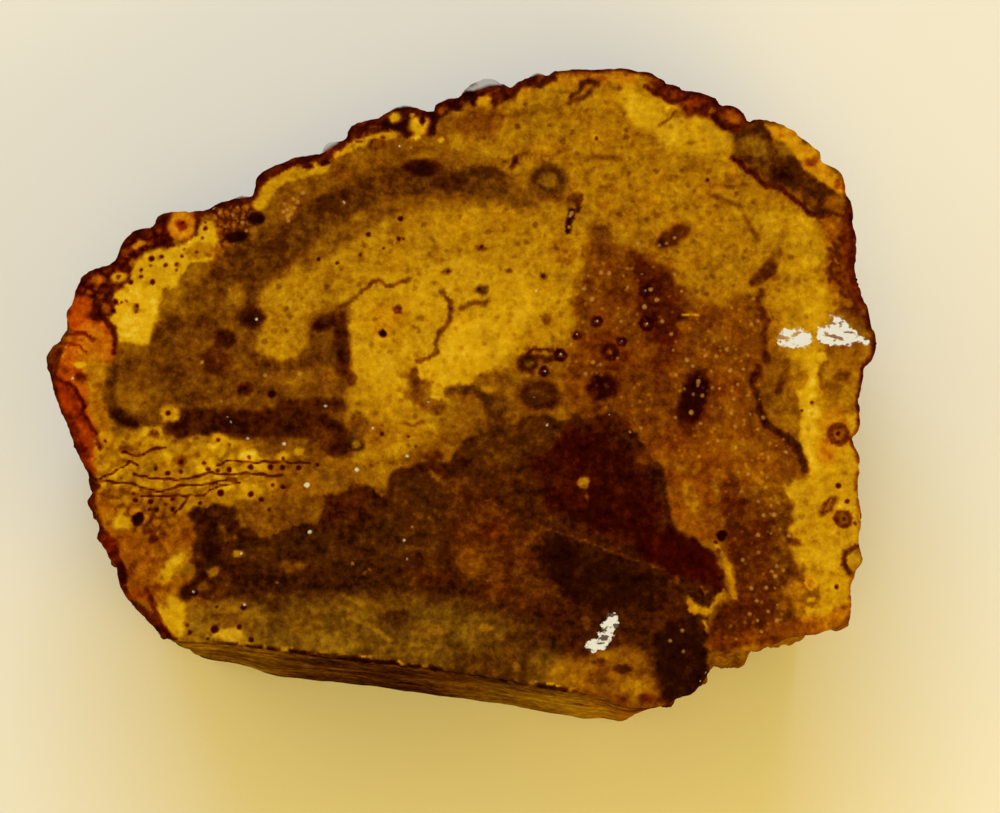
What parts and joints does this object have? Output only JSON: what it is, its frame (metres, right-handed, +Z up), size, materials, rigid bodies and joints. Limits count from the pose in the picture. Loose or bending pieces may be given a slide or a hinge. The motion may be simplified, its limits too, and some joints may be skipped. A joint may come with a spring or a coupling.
{
  "type": "rough petrified wood",
  "caption": "Chunk of a fossil log with a flat sawn end-grain face on top, a knobbly bark side and a straight split front, resting on a flat sawn foot.",
  "frame": {"origin": "middle of the stone's box in X and Y, on the foot plane that it rests on", "axes": "+Z up out of the sawn face, +X along the long side, +Y from the split front to the back"},
  "size_m": [0.1255, 0.0989, 0.045],
  "materials": {
    "petrified_wood_stone": "silicified wood, golden yellow to dark brown end grain with a glossy sawn face and a maroon bark rind"
  },
  "bodies": {
    "root": {"petrified_wood": "petrified_wood_stone"}
  },
  "joints": []
}
